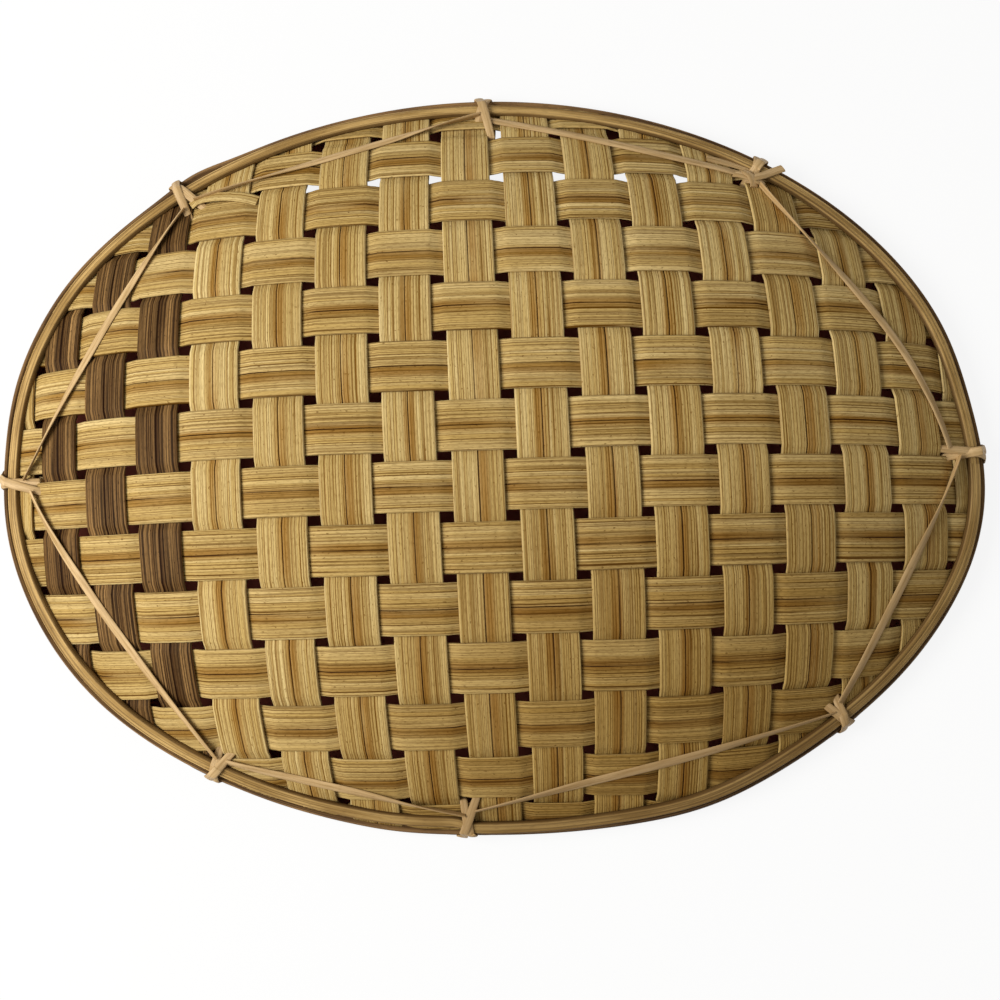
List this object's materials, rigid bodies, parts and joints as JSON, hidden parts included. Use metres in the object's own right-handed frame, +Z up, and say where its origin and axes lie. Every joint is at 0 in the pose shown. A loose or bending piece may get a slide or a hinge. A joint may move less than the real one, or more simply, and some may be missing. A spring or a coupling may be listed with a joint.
{
  "type": "rattan tray",
  "caption": "Shallow oval woven tray, shown lying face down, with natural and smoked flat strips in plain weave, a double hoop rim and cane lacing tied over it.",
  "frame": {"origin": "on the surface that the rim rests on, under the middle of the tray", "axes": "+X along the tray, away from the smoked strips; +Y across it; +Z up, out of the bulging face"},
  "size_m": [0.3445, 0.2603, 0.043],
  "materials": {
    "natural_strip": "satin",
    "smoked_strip": "satin",
    "hoop": "satin",
    "lacing": "smooth"
  },
  "bodies": {
    "root": {"crosswise_strip_01": "natural_strip", "crosswise_strip_02": "smoked_strip", "crosswise_strip_03": "smoked_strip", "crosswise_strip_04": "smoked_strip", "crosswise_strip_05": "natural_strip", "crosswise_strip_06": "natural_strip", "crosswise_strip_07": "natural_strip", "crosswise_strip_08": "natural_strip", "crosswise_strip_09": "natural_strip", "crosswise_strip_10": "natural_strip", "crosswise_strip_11": "natural_strip", "crosswise_strip_12": "natural_strip", "crosswise_strip_13": "natural_strip", "crosswise_strip_14": "natural_strip", "crosswise_strip_15": "natural_strip", "crosswise_strip_16": "natural_strip", "crosswise_strip_17": "natural_strip", "lengthwise_strip_01": "natural_strip", "lengthwise_strip_02": "natural_strip", "lengthwise_strip_03": "natural_strip", "lengthwise_strip_04": "natural_strip", "lengthwise_strip_05": "natural_strip", "lengthwise_strip_06": "natural_strip", "lengthwise_strip_07": "natural_strip", "lengthwise_strip_08": "natural_strip", "lengthwise_strip_09": "natural_strip", "lengthwise_strip_10": "natural_strip", "lengthwise_strip_11": "natural_strip", "lengthwise_strip_12": "natural_strip", "lengthwise_strip_13": "natural_strip", "lengthwise_strip_14": "natural_strip", "outer_hoop": "hoop", "inner_hoop": "hoop", "cane_lacing": "lacing"}
  },
  "joints": []
}
